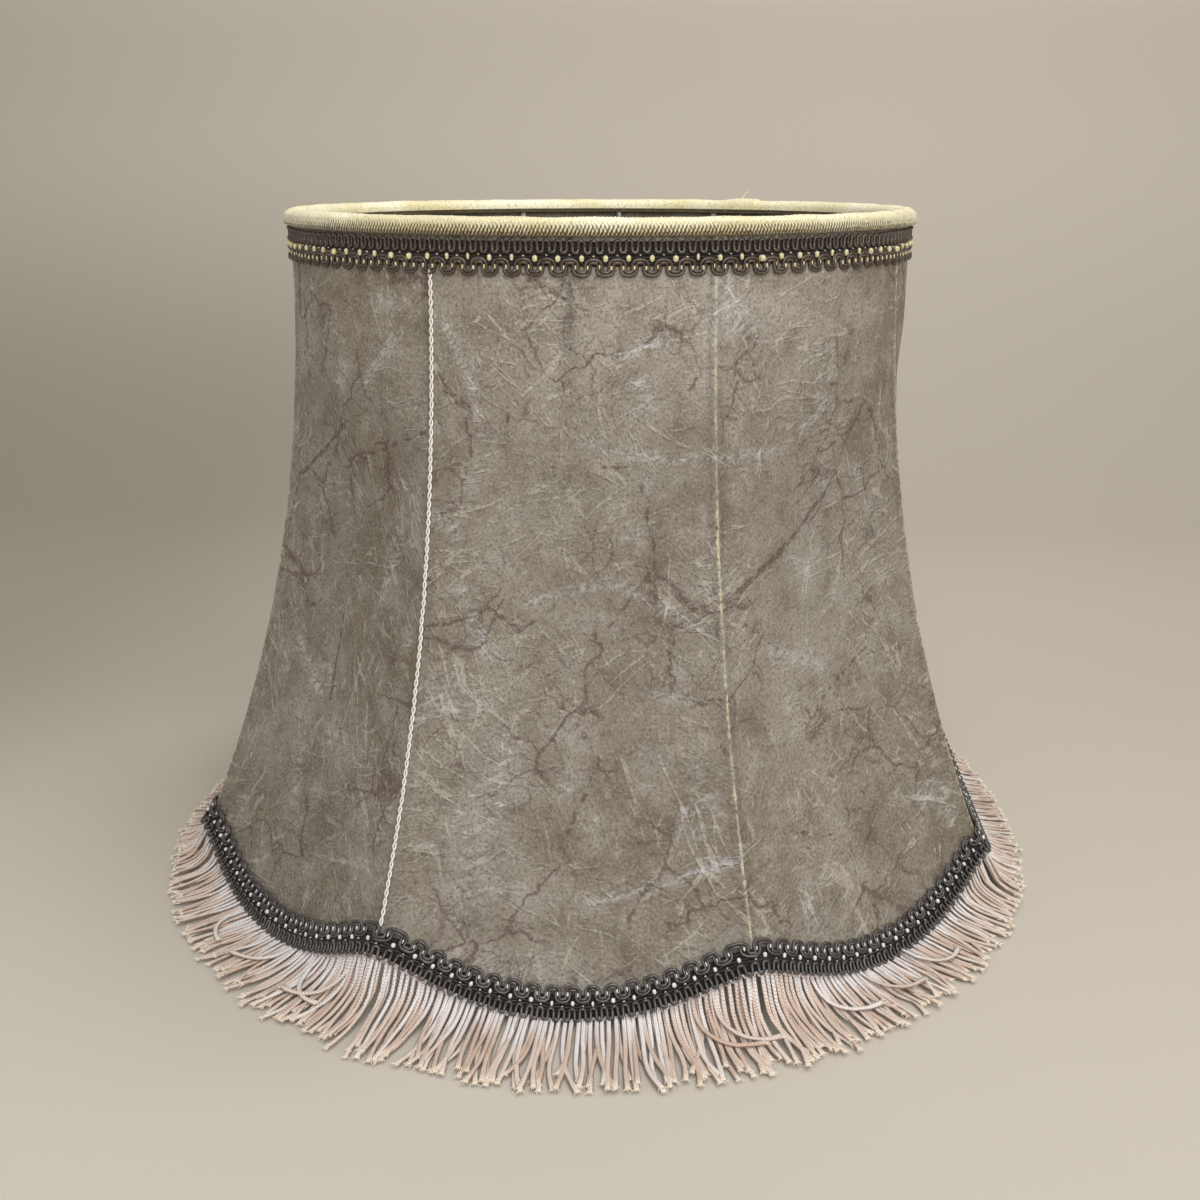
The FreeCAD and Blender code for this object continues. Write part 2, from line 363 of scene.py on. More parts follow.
def parchment():
    finish = Finish("taupe_parchment")
    flat = finish.node("ShaderNodeUVMap", {"uv_map": "flat"})

    def bent(scale, reach, detail=2.0):
        sway = finish.noise(flat, scale, detail, 0.55, 0.0, 1)
        sway = finish.node("ShaderNodeVectorMath", {"operation": "SCALE"}, {0: sway, "Scale": reach})
        return finish.node("ShaderNodeVectorMath", {"operation": "ADD"}, {0: flat, 1: sway})

    gently, roughly = bent(20.0, 0.016), bent(60.0, 0.018, 4.0)
    cloud = finish.noise(flat, 9.0, 5.0, 0.62)
    blotch = finish.noise(flat, 48.0, 6.0, 0.7)
    grain = finish.noise(flat, 760.0, 3.0, 0.7)
    leather = finish.noise(flat, 250.0, 4.0, 0.68)

    pale = 0.0
    for turn, spacing, thin, shift in (
        (0.10, 120, 0.017, 0.0),
        (0.70, 105, 0.015, 1.3),
        (1.30, 125, 0.017, 2.6),
        (1.95, 110, 0.016, 3.9),
        (2.60, 120, 0.017, 5.2),
        (0.35, 190, 0.022, 6.5),
        (2.20, 180, 0.022, 7.8),
    ):
        pale = creases(finish, gently, turn, spacing, thin, shift) + pale
    pale = pale * (leather.step(0.30, 0.52) * 0.8 + 0.2)
    pale = pale.math("MINIMUM", pale, 1.0)

    vein_here = finish.noise(finish.mapped(flat, (1, 1, 1), 0, (5.5, 0, 0)), 17.0, 3.0, 0.6).step(0.47, 0.56)
    fray = finish.noise(flat, 460.0, 3.0, 0.7).step(0.34, 0.50)
    vein = cell_borders(finish, roughly, 20, 0.6, 1.4, 0.026) * vein_here
    vein = vein + cell_borders(finish, roughly, 36, -0.4, 1.5, 0.030) * vein_here * 0.7
    ragged = finish.noise(flat, 190.0, 4.0, 0.7) - 0.5
    vein = (vein + (finish.attribute("vein") + ragged * 1.2).step(0.71, 0.80)) * fray
    vein = vein.math("MINIMUM", vein, 1.0)

    speckle = finish.noise(finish.mapped(gently, (0.6, 1.5, 1), 0.4), 330.0, 5.0, 0.75)
    milky_here = finish.noise(gently, 25.0, 6.0, 0.7).step(0.55, 0.72) * 0.7 + finish.attribute("scuff")
    milky = milky_here * (speckle.step(0.46, 0.60) * 0.75 + pale * 0.6)
    milky = milky.math("MINIMUM", milky, 1.0)

    colour = finish.mix(cloud.step(0.36, 0.64), srgb(134, 124, 107), srgb(160, 152, 139))
    colour = finish.mix(blotch.step(0.46, 0.74) * 0.68, colour, srgb(188, 181, 171))
    colour = finish.mix(blotch.step(0.50, 0.30) * 0.62, colour, srgb(100, 91, 74))
    colour = finish.mix(leather.step(0.50, 0.30) * 0.42, colour, srgb(92, 82, 66))
    colour = finish.mix(pale * 0.55, colour, srgb(204, 196, 180))
    colour = finish.mix(vein * 0.72, colour, srgb(92, 62, 54))
    colour = finish.mix(milky * 0.92, colour, srgb(222, 224, 226))
    colour = finish.mix(grain.step(0.52, 0.30) * 0.68, colour, srgb(84, 75, 60))
    colour = finish.mix(grain.step(0.54, 0.72) * 0.50, colour, srgb(206, 199, 187))

    rib = finish.attribute("rib_gap")
    uneven = finish.noise(flat, 330.0, 4.0, 0.75)
    worn = (rib * 0.7 + (uneven - 0.5) * 3.0).step(0.42, 0.0) * finish.attribute("folded")
    worn = worn * (finish.noise(flat, 24.0, 3.0, 0.6).step(0.36, 0.56) * 0.8 + 0.2) * rib.step(1.5, 0.8)
    colour = finish.mix(worn, colour, srgb(224, 216, 180))
    nicks = rib.step(3.2, 0.4) * finish.attribute("folded") * leather.step(0.57, 0.66)
    colour = finish.mix(nicks * 0.6, colour, srgb(208, 198, 168))
    # Painted shade and shadow: the fitter arms' shadows, shade lines beside the ribs and darker lower
    # panels.
    colour = finish.mix(finish.attribute("shade"), colour, srgb(70, 61, 50))

    height = pale * 0.9 - vein * 0.5 + leather * 1.3 + blotch * 0.9 + grain * 0.3
    rough = 0.60 - pale * 0.12 + grain * 0.12
    return finish.surface(
        {
            "Base Color": colour,
            "Roughness": rough,
            "Normal": finish.bump(height, 0.7, 0.0007),
            "Specular IOR Level": 0.42,
        }
    )


parchment_finish = parchment()
print("nodes in the parchment's finish:", len(parchment_finish.node_tree.nodes))

# %% [markdown]
# ## The two skins
#
# Each skin covers half the shade, four bays, and is one sheet of parchment 0.8 mm thick. It is sewn to
# the other one at two opposite ribs and only folded over the ribs between. A flat grid is the natural
# start: its rows run up the sheet, its columns across it, and each point is then moved to its place on
# the bell. The columns lie closer together near the ribs, because there the sheet bends over the wire and
# needs a crisp, slightly raised edge. `Solidify` gives the sheet its thickness, inwards, so that the outer
# face stays where the trims expect it.
#
# The larger milky scuffs and the long veins are where they are by chance, not by pattern. They are short
# strokes with a place and a width, and each point of the sheet stores how much of a stroke covers it. The
# same way, each point stores how far it lies from the nearest rib, where the fold is worn pale, and how much
# painted shade the sheet gets there: a painted shadow down a fitter arm, painted shade beside the ribs and
# painted shade over the sheet below its top.

# %% Skins
COLUMNS, ROWS = 56, 140  # in one bay, and up the sheet
EDGE_CROWDING = 0.55
SKIN_THICKNESS = 0.8
MAP_R = 178.0  # radius at which the flat map has its true width
SCUFFS = (  # angle and height of each end in degrees and mm, width in mm, strength
    ((-110, 278), (-105.5, 252), 2.0, 0.9),
    ((-105.5, 252), (-104.8, 234), 1.5, 0.7),
    ((-111.4, 200), (-108.7, 195), 3.0, 0.9),
    ((-97.2, 166), (-90.8, 171), 1.4, 1.0),
    ((-90.8, 171), (-83.1, 175), 1.6, 1.0),
    ((-83.1, 175), (-70.5, 157), 1.5, 1.0),
    ((-107.4, 171), (-105.8, 162), 2.0, 1.0),
    ((-105.8, 162), (-103, 144), 2.6, 0.9),
    ((-88.1, 231), (-78.8, 228), 1.3, 0.8),
    ((-78.8, 228), (-71.3, 226), 1.5, 1.0),
    ((-71.3, 226), (-56.4, 226), 1.6, 0.8),
    ((-75.6, 274), (-79.7, 270), 2.4, 0.9),
    ((-81.6, 193), (-78.8, 198), 1.8, 0.9),
    ((-147.4, 124), (-138.6, 107), 3.0, 0.9),
    ((-140, 73), (-138.5, 56), 2.6, 0.8),
    ((-86.8, 45), (-67.6, 65), 2.0, 0.8),
    ((-49.9, 233), (-44.3, 242), 1.8, 1.0),
    ((-34.7, 210), (-28.8, 180), 1.2, 1.0),
    ((-58.1, 142), (-47.2, 129), 2.2, 0.8),
    ((-143, 203), (-151.5, 160), 2.4, 0.6),
    ((-119.2, 275), (-128.7, 252), 2.4, 0.7),
    ((-121.3, 177), (-124.6, 158), 2.4, 0.8),
    ((-72.4, 128), (-78, 131), 2.4, 0.6),
    ((-66.8, 293), (-61.4, 277), 6.0, 0.6),
    ((-100.1, 101), (-102.5, 45), 9.0, 0.5),
    ((20, 240), (32, 200), 2.0, 0.9),
    ((48, 120), (60, 150), 2.0, 0.8),
    ((95, 230), (110, 210), 2.0, 0.9),
    ((140, 160), (151, 120), 2.4, 0.8),
    ((170, 250), (182, 214), 2.0, 0.8),
)
VEINS = (  # the same, for the few long veins
    ((-99, 301), (-90.1, 289), 2.2, 1.0),
    ((-90.1, 289), (-82.4, 278), 2.0, 0.9),
    ((-100.8, 233), (-99.4, 252), 2.2, 1.0),
    ((-94.4, 223), (-81, 223), 2.0, 0.9),
    ((-41.5, 206), (-51.8, 186), 2.6, 1.0),
    ((-51.8, 186), (-66.6, 166), 3.0, 1.0),
    ((-27.7, 239), (-49.4, 216), 2.0, 0.9),
    ((-108, 253), (-105.7, 220), 2.6, 0.9),
    ((-134.6, 233), (-154.4, 200), 2.4, 1.0),
    ((-154.4, 200), (-156.5, 177), 2.4, 0.9),
    ((-113.2, 236), (-137.5, 210), 2.2, 0.9),
    ((-104.5, 166), (-98.1, 154), 2.4, 1.0),
    ((-98.1, 154), (-91.9, 167), 2.2, 0.9),
    ((-91.6, 126), (-85.5, 102), 2.4, 1.0),
    ((-85.5, 102), (-91, 66), 2.4, 1.0),
    ((-71.2, 120), (-67.6, 104), 2.2, 0.9),
    ((-48.3, 115), (-34.3, 132), 2.4, 0.9),
    ((-135.3, 151), (-135, 106), 2.4, 1.0),
    ((-135, 106), (-126.5, 86), 2.2, 0.9),
    ((-79.1, 218), (-76.8, 185), 3.0, 0.9),
    ((-76, 185), (-85.5, 151), 2.2, 0.9),
    ((-63.9, 158), (-55.9, 141), 2.4, 0.9),
    ((-84.2, 59), (-73.2, 37), 2.4, 0.9),
    ((-58.5, 67), (-41.3, 47), 2.2, 0.9),
    ((-112, 63), (-101.8, 60), 2.2, 0.8),
    ((-71.7, 293), (-70, 277), 2.2, 0.8),
    ((15, 250), (30, 215), 2.4, 0.9),
    ((62, 180), (85, 150), 2.4, 0.9),
    ((112, 270), (128, 200), 2.4, 0.9),
    ((150, 90), (172, 120), 2.4, 0.9),
)


def stroke_cover(strokes, turn, z):
    """How much of a stroke lies over this place, from 0 to 1."""
    most = 0.0
    for (a0, z0), (a1, z1), width, strength in strokes:
        side = (math.degrees(turn) - a0 + 180) % 360 - 180
        if abs(z - (z0 + z1) / 2) > 42 or abs(side) > 36:
            continue
        here = Vector((math.radians(side) * MAP_R, z - z0))
        run = Vector((math.radians(a1 - a0) * MAP_R, z1 - z0))
        share = min(max(here.dot(run) / run.length_squared, 0.0), 1.0)
        away = (here - run * share).length
        most = max(most, strength * max(1 - away / (width * 1.7), 0.0))
    return most


def skin_relief(turn, z):
    """How far the sheet stands proud of the bell: a ridge over the wire, a dip beside it, soft waves."""
    gap = rib_gap(turn, z)
    free = smooth(gap, 4, 26) * smooth(z, 22, 70) * smooth(z, SKIN_TOP - 18, SKIN_TOP - 60)
    wave = noise.noise(Vector((turn * 5.0, z / 46, 3.0))) * 1.1
    wave += noise.noise(Vector((turn * 14, z / 20, 8.0))) * 0.35
    ridge = 0.55 * math.exp(-((gap / 1.5) ** 2)) - 0.28 * math.exp(-(((gap - 5.5) / 3.0) ** 2))
    return ridge * smooth(z, SKIN_TOP - 4, SKIN_TOP - 22) + wave * free


def soft_shade(turn, z):
    """Painted shade and shadow: a dark band down a fitter arm that leans on the sheet, its shadow seen
    through it; painted shade lines beside each rib; and painted shade over the sheet below its top.
    """
    quarter = math.pi / 2
    from_arm = abs((turn + quarter / 2) % quarter - quarter / 2) * skin_radius(turn, z)
    sway = noise.noise(Vector((z / 14, turn, 2.0))) * 1.2
    # Painted shadow of the fitter arm, seen through the sheet.
    arm_shadow = math.exp(-(((from_arm + sway) / 2.4) ** 2)) * smooth(z, TOP_BRAID_EDGE - 58, TOP_BRAID_EDGE - 10)
    # Painted shade lines beside each rib, stronger on one side than the other.
    side = (across_bay(turn) > 0) * (1 - across_bay(turn)) * HALF * skin_radius(turn, z)
    shade_beside_rib = math.exp(-(((side - 2.2) / 1.3) ** 2)) * (0.35 + 0.65 * smooth(z, 190, 280))
    other = (across_bay(turn) < 0) * (1 + across_bay(turn)) * HALF * skin_radius(turn, z)
    # Painted shade: the sheet darker below the top of the panels.
    shade_below_top = 0.21 * smooth(z, 290, 215)
    return min(0.55 * arm_shadow + 0.30 * shade_beside_rib + 0.16 * math.exp(-(((other - 2.0) / 1.2) ** 2)) + shade_below_top, 0.6)


def rib_gap(turn, z):
    """Distance along the skin to the nearest rib, in mm."""
    return (1 - abs(across_bay(turn))) * HALF * skin_radius(turn, z)


def make_skin(name, first_rib, node_name):
    sheet = bmesh.new()
    bmesh.ops.create_grid(sheet, x_segments=COLUMNS * 4, y_segments=ROWS, size=1.0)
    flat = sheet.loops.layers.uv.new("flat")
    gaps = sheet.verts.layers.float.new("rib_gap")
    scuffs = sheet.verts.layers.float.new("scuff")
    veins = sheet.verts.layers.float.new("vein")
    folded = sheet.verts.layers.float.new("folded")
    shade = sheet.verts.layers.float.new("shade")
    maps = {}
    for v in sheet.verts:
        bays = min((v.co.x + 1) * 2, 3.9999999)
        side = (bays % 1) * 2 - 1
        side = (1 - EDGE_CROWDING) * side + EDGE_CROWDING * math.sin(side * math.pi / 2)
        at_end = v.co.x > 1 - 1e-6
        turn = (2 * (first_rib + 1 + int(bays)) + (1.0 if at_end else side)) * HALF
        low = hem(turn)
        z = low + (SKIN_TOP - low) * (v.co.y + 1) / 2
        v[gaps] = rib_gap(turn, z)
        v[scuffs] = stroke_cover(SCUFFS, turn, z)
        v[veins] = stroke_cover(VEINS, turn, z)
        v[folded] = 0.0 if v.co.x < -0.75 else 1.0
        if v.co.x > 0.75:  # the turned edge under the stitches shows only in the lower half
            v[folded] = 0.6 * smooth(z, 215, 165) * smooth(v.co.x, 0.93, 0.96)
        v[shade] = soft_shade(turn, z)
        maps[v] = Vector((turn * MAP_R * MM + first_rib, z * MM))
        v.co = on_skin(turn, z, skin_relief(turn, z))
    for face in sheet.faces:
        for loop in face.loops:
            loop[flat].uv = maps[loop.vert]
    mesh = bpy.data.meshes.new(name)
    sheet.to_mesh(mesh)
    sheet.free()
    skin = show(name, mesh, [parchment_finish], [node_name])
    wall = skin.modifiers.new("thickness", "SOLIDIFY")
    wall.thickness = SKIN_THICKNESS * MM
    wall.offset = -1
    return skin


make_skin("parchment_right", FRONT_SEAM, "skin_right")
make_skin("parchment_left", BACK_SEAM, "skin_left")

# %% [markdown]
# ## Cords
#
# The stitches, both braids and the fringe are all made of cords. A curve with a round bevel is Blender's
# own way to make a cord: it takes a list of places and a thickness and skins a tube along them, closed
# ends included. One curve object can hold any number of such lines, and it becomes a mesh once, at the end.


# %% Cords from curves
def cords(name, lines, thickness, closed=False, profile=None, finer=1, capped=True):
    """A mesh of one tube along each line. A line is a list of places, or of places with a share of the
    thickness and a twist."""
    data = bpy.data.curves.new(name, "CURVE")
    data.dimensions = "3D"
    data.use_fill_caps = capped and not closed
    data.bevel_resolution = finer
    data.bevel_depth = thickness / 2 * MM
    if profile:
        data.bevel_mode = "OBJECT"
        data.bevel_object = profile
    for line in lines:
        spline = data.splines.new("POLY")
        spline.points.add(len(line) - 1)
        spline.use_cyclic_u = closed
        spline.use_smooth = True
        for point, place in zip(spline.points, line):
            where, share, twist = place if isinstance(place, tuple) else (place, 1.0, 0.0)
            point.co = (*where, 1.0)
            point.radius = share
            point.tilt = twist
    holder = bpy.data.objects.new(name, data)
    bpy.context.scene.collection.objects.link(holder)
    mesh = bpy.data.meshes.new_from_object(holder.evaluated_get(bpy.context.evaluated_depsgraph_get()))
    bpy.data.objects.remove(holder)
    bpy.data.curves.remove(data)
    return mesh


def joined(meshes):
    """One mesh from several. Each keeps its own material number, in the order given."""
    whole = bmesh.new()
    for number, mesh in enumerate(meshes):
        start = len(whole.faces)
        whole.from_mesh(mesh)
        whole.faces.ensure_lookup_table()
        for face in whole.faces[start:]:
            face.material_index = number
            face.smooth = True
    result = bpy.data.meshes.new("joined")
    whole.to_mesh(result)
    whole.free()
    return result


# %% [markdown]
# ## The seam threads
#
# Each sewn rib has a row of thick white stitches in a two-ply thread. Seen close, the two plies cross over
# each other every 3.7 mm and leave a small dark eye between crossings. Two lines that sway against each
# other from side to side, and change places in depth, give exactly that.


# %% Seam threads
def yarn(name, colour, shade, gloss_roughness, twist_scale, relief=0.5):
    """A soft thread: fine fibres, with patches that have greyed a little."""
    finish = Finish(name)
    where = finish.node("ShaderNodeTexCoord", {}, {}, "Object")
    fibres = finish.noise(where, twist_scale, 3.0, 0.6)
    patches = finish.noise(where, twist_scale * 0.09, 3.0, 0.6)
    mixed = finish.mix(fibres.step(0.35, 0.65), shade, colour)
    mixed = finish.mix(patches.step(0.45, 0.8) * 0.35, mixed, shade)
    return finish.surface(
        {
            "Base Color": mixed,
            "Roughness": gloss_roughness + fibres * 0.15,
            "Normal": finish.bump(fibres, relief, 0.0004),
            "Sheen Weight": 0.25,
        }
    )


STITCH_PITCH, PLY = 3.7, 0.78
STITCH_LOW, STITCH_HIGH = 34.0, TOP_BRAID_EDGE + 2
stitch_finish = yarn("white_stitch_thread", srgb(250, 250, 244), srgb(222, 218, 206), 0.4, 2200.0)


def make_seam_thread(name, rib_number, node_name):
    turn = (2 * rib_number + 1) * HALF
    out = Vector((math.cos(turn), math.sin(turn), 0))
    side = Vector((-out.y, out.x, 0))
    plies = ([], [])
    z = STITCH_LOW
    while z < STITCH_HIGH:
        base = on_skin(turn, z, 0.0)
        phase = math.pi * z / STITCH_PITCH
        drift = noise.noise(Vector((z / 9, rib_number, 0))) * 0.25
        for ply, sign in zip(plies, (-1, 1)):
            sway = sign * math.sin(phase) * 0.58 + drift
            lift = 0.85 + 0.42 * sign * math.cos(phase) + PLY / 2
            ply.append(base + (side * sway + out * lift) * MM)
        z += STITCH_PITCH / 8
    return show(name, cords(name, plies, PLY), [stitch_finish], [node_name])


make_seam_thread("stitches_front", FRONT_SEAM, "seam_thread_front")
make_seam_thread("stitches_back", BACK_SEAM, "seam_thread_back")

# %% [markdown]
# ## The gimp braid
#
# Scroll gimp has two rows. One is a single cord that goes up and down in tight bends. The other is a pair
# of cords that run side by side in waves twice as wide, and between the two cords of each leg sits a tiny
# pale stitch. A pale thread between the rows shows as a dot in every trough.
#
# Both rows are the same rounded wave, with different numbers. A cosine gives the swing up and down. A
# hyperbolic tangent flattens its tops, and a second, faster sine pushes the tops apart until the legs
# stand upright.


# %% Waves
def wave_at(phase, length, height, squareness, spread):
    """A place on the wave, in mm along and across."""
    along = length * (phase / (2 * math.pi) + spread * math.sin(2 * phase))
    return along, height / 2 * math.tanh(squareness * math.cos(phase)) / math.tanh(squareness)


def round_braid(track, count, centre, height, squareness, spread, steps, gap=None, seed=0.0, lean=None):
    """Lines that go once round the shade. gap gives each of two cords' distance from their middle line."""
    length = track.length / count
    sides = (-1, 1) if gap else (0,)
    lines = [[] for _ in sides]
    for n in range(count):
        for i in range(steps):
            phase = 2 * math.pi * i / steps
            x, y = wave_at(phase, length, height, squareness, spread)
            ahead_x, ahead_y = wave_at(phase + 0.01, length, height, squareness, spread)
            run = Vector((ahead_x - x, ahead_y - y)).normalized()
            drift = noise.noise(Vector((n * 0.37, seed, 0))) * length * 0.07
            rise = noise.noise(Vector((n * length / 23, seed, 5.0))) * 0.35
            for line, side in zip(lines, sides):
                away = side * gap(phase) if gap else 0.0
                up = centre + rise + y + run.x * away
                lift = 1.05 + 0.30 * math.cos(2 * phase) + (lean(up) if lean else 0.0)
                line.append(track.at(n * length + x + drift - run.y * away, up, lift))
    return lines


def pair_gap(phase):
    """The paired cords touch in the bends and part a little in the legs."""
    return 0.60 + 0.33 * math.sin(phase) ** 4


# %% [markdown]
# The same gimp is used twice. At the top the scroll row hangs down, at the hem it points up, so one function
# makes both and is told which way up the braid lies. `BRAID_W` is the braid's width, and each row's place is
# measured from the edge that has the tight row.

# %% Gimp
BRAID_W = 14.4
CORD = 1.38
ZIGZAG_AT, ZIGZAG_H = 2.85, 4.6
SCROLL_AT, SCROLL_H = 10.7, 4.9
DOTS_AT = 7.3


def glossy_cord(name, colour, shade):
    """Rayon cord: dark, with a sharp highlight that its fine winding breaks up."""
    finish = Finish(name)
    where = finish.node("ShaderNodeTexCoord", {}, {}, "Object")
    winding = finish.noise(where, 1500.0, 3.0, 0.6)
    worn = finish.noise(where, 70.0, 4.0, 0.65)
    mixed = finish.mix(winding.step(0.35, 0.65), shade, colour)
    mixed = finish.mix(worn.step(0.52, 0.75) * 0.35, mixed, srgb(128, 114, 98))
    return finish.surface(
        {
            "Base Color": mixed,
            "Roughness": 0.22 + winding * 0.2,
            "Normal": finish.bump(winding, 0.35, 0.0003),
            "Specular IOR Level": 0.9,
        }
    )


gimp_cord_finish = glossy_cord("dark_gimp_cord", srgb(84, 65, 46), srgb(34, 26, 16))
hem_cord_finish = glossy_cord("charcoal_gimp_cord", srgb(74, 68, 62), srgb(32, 29, 26))
gold_dot_finish = yarn("cream_gold_thread", srgb(248, 240, 196), srgb(196, 178, 118), 0.35, 1800.0)
white_dot_finish = yarn("off_white_thread", srgb(248, 248, 246), srgb(205, 203, 198), 0.4, 1800.0)
# The gimp's woven core, near-black: its own dark colour and painted shade in the gaps between the cords.
core_and_shade_finish = yarn("gimp_core_and_shade", srgb(32, 24, 14), srgb(10, 8, 5), 0.9, 900.0)


def make_gimp(name, track, count, hanging, node_name, cord_finish, dot_finish, dot, seed, lean=None):
    def from_edge(distance):
        return BRAID_W - distance if hanging else distance

    zigzag = round_braid(track, 2 * count, from_edge(ZIGZAG_AT), ZIGZAG_H, 1.3, 0.075, 12, None, seed, lean)
    scroll_h = -SCROLL_H if hanging else SCROLL_H
    scroll_at = from_edge(SCROLL_AT)
    scroll = round_braid(track, count, scroll_at, scroll_h, 1.0, 0.088, 20, pair_gap, seed + 1, lean)
    length = track.length / count
    tufts = []
    for n in range(count):
        for share, at, width, reach in (
            (0.0, DOTS_AT, dot, dot * 0.62),
            (0.25, SCROLL_AT, 0.75, 0.85),
            (0.75, SCROLL_AT, 0.75, 0.85),
            (0.5, DOTS_AT - 1.0, 0.9, 0.25),
        ):
            jitter = noise.noise(Vector((n * 1.7, share * 9, seed)))
            along, up = (n + share) * length, from_edge(at + jitter * 0.9)
            along += noise.noise(Vector((n * 0.37, seed + 1, 0))) * length * 0.07
            tilt = lean(up) if lean else 0.0
            fat = width / 1.5 * (1 + 0.8 * jitter)
            tuft = []
            for part, fullness in ((-1.0, 0.35), (-0.6, 0.95), (0.6, 0.95), (1.0, 0.35)):
                tuft.append((track.at(along, up + part * reach, 1.25 + tilt), fat * fullness, 0.0))
            tufts.append(tuft)
    dots = cords(name + "_dots", tufts, 1.5)
    band_lines = []
    for distance in (1.4, 2.6, 3.8, 5.0, 6.2, 7.4, 8.6, 9.8):
        up = from_edge(distance)
        points = 720
        tilt = lean(up) if lean else 0.0
        band_lines.append([track.at(track.length * i / points, up, 0.1 + tilt * 0.7) for i in range(points)])
    rows = cords(name, zigzag + scroll, CORD, True)
    core = cords(name + "_core", band_lines, 1.3, True, None, 0)
    finishes = [cord_finish, dot_finish, core_and_shade_finish]
    return show(name, joined([rows, dots, core]), finishes, [node_name])


make_gimp("gimp_top", top_track, 102, True, "top_braid", gimp_cord_finish, gold_dot_finish, 2.0, 3.0)
HEM_LEAN = 2.6


def hem_lean(up):
    """The lower edge of the hem braid stands off, pushed out by the fringe's heading."""
    return 0.9 + HEM_LEAN * (1 - min(up / BRAID_W, 1.0))


hem_finishes = hem_cord_finish, white_dot_finish
make_gimp("gimp_hem", hem_track, 146, False, "bottom_braid", *hem_finishes, 1.6, 11.0, hem_lean)

# %% [markdown]
# ## The roll round the top
#
# The top ring is padded and wrapped in a shiny cream tape. The tape's cross threads stand up as fine
# slanting ribs, most clearly low down, where the tape is pulled over the edge. A flat grid rolled up both
# ways makes the roll, and its columns are close enough for each thread to be real: every fourth ring of
# points is pulled in a little. Small lumps, a pucker, a lap and one loose end keep it from looking turned
# on a lathe.


# %% Top roll
def rolled_tape():
    finish = Finish("cream_ribbed_tape")
    where = finish.node("ShaderNodeTexCoord", {}, {}, "Object")
    patches = finish.noise(where, 34.0, 4.0, 0.6)
    fine = finish.noise(where, 900.0, 3.0, 0.6)
    groove = finish.attribute("groove")
    colour = finish.mix(patches.step(0.30, 0.70), srgb(220, 208, 158), srgb(240, 234, 200))
    # Painted shade: darker brown in the grooves between the tape's threads and along the roll's underside.
    colour = finish.mix(groove.step(0.22, 0.80), colour, srgb(78, 60, 26))
    colour = finish.mix(fine.step(0.46, 0.34) * 0.6, colour, srgb(140, 120, 68))
    return finish.surface(
        {
            "Base Color": colour,
            "Roughness": 0.3 + fine * 0.2,
            "Normal": finish.bump(fine, 0.6, 0.0004),
            "Sheen Weight": 0.3,
        }
    )


ROLL_THREADS, THREAD_COLUMNS = 600, 4
ROLL_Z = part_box("top_ring")[0].z / MM + 2.0
ROLL_MID_R, ROLL_R = 145.6, 5.2
ROLL_SIDES = 20
PUCKER_AT, LAP_FROM, LAP_TO, LOOSE_AT = 202.0, 56.0, 66.0, 61.0  # angles round the shade
ROLL_FOOT = 2.1  # how far below its middle the roll is pressed flat, by the braid and the ring
EDGE_ROWS = 40.0, 150.0  # the tape's two knotted edges, as angles round the roll


def roll_relief(turn, around):
    """The roll's radius at an angle round the shade and one round the roll, and how much painted shade it
    gets: the depth in a groove, and more on the roll's underside.
    """
    slant = 1.9 * math.sin(around)
    thread = turn / (2 * math.pi) * ROLL_THREADS + slant
    thread += noise.noise(Vector((math.cos(turn), math.sin(turn), math.cos(around) * 0.03)) * 12) * 0.6
    groove = 0.5 - 0.5 * math.cos(2 * math.pi * thread)
    knots = sum(math.exp(-(((math.degrees(around) - row) / 9.0) ** 2)) for row in EDGE_ROWS)
    groove *= 0.25 + 0.75 * smooth(math.degrees(around), 55, 12)
    place = Vector((math.cos(turn) * 9, math.sin(turn) * 9, math.cos(around)))
    lumps = noise.noise(place) * 0.4
    fray = noise.noise(place * 22) * 0.22
    pucker = math.exp(-(((math.degrees(turn) % 360 - PUCKER_AT) / 3.5) ** 2))
    round_shade = math.degrees(turn) % 360
    lap = smooth(round_shade, LAP_FROM, LAP_FROM + 0.8) * smooth(round_shade, LAP_TO, LAP_TO - 4.0)
    proud = lumps + fray + knots * 0.35 - groove * 0.8 - pucker * 1.2 + lap * 0.7
    return ROLL_R - 0.2 + proud, groove + 0.3 * smooth(math.degrees(around), 12, -20)


def make_roll():
    roll = bmesh.new()
    bmesh.ops.create_grid(roll, x_segments=ROLL_THREADS * THREAD_COLUMNS, y_segments=ROLL_SIDES, size=1.0)
    # Groove depth plus the roll's underside, kept for the painted shade.
    depth = roll.verts.layers.float.new("groove")
    for v in roll.verts:
        turn, around = math.pi * v.co.x, -math.pi * v.co.y
        radius, groove = roll_relief(turn, around)
        v[depth] = groove
        rise = max(radius * math.sin(around), -ROLL_FOOT)
        v.co = level(turn, ROLL_MID_R + radius * math.cos(around), ROLL_Z + rise)
    bmesh.ops.remove_doubles(roll, verts=roll.verts, dist=0.02 * MM)
    bmesh.ops.recalc_face_normals(roll, faces=roll.faces)
    mesh = bpy.data.meshes.new("top_roll")
    roll.to_mesh(mesh)
    roll.free()
    loose = []
    start = math.radians(LOOSE_AT)
    for i in range(7):
        share = i / 6
        bow = Vector((0.6 * share, 0.9 * share, 1.0 * share - 0.35 * share * share)) * 7.0
        loose.append(level(start, ROLL_MID_R + 1.0, ROLL_Z + ROLL_R) + bow * MM)
    thread = cords("loose_end", [loose], 0.5)
    finishes = [rolled_tape(), gold_dot_finish]
    piece = show("top_roll", joined([mesh, thread]), finishes, ["top_binding"])
    return piece


make_roll()
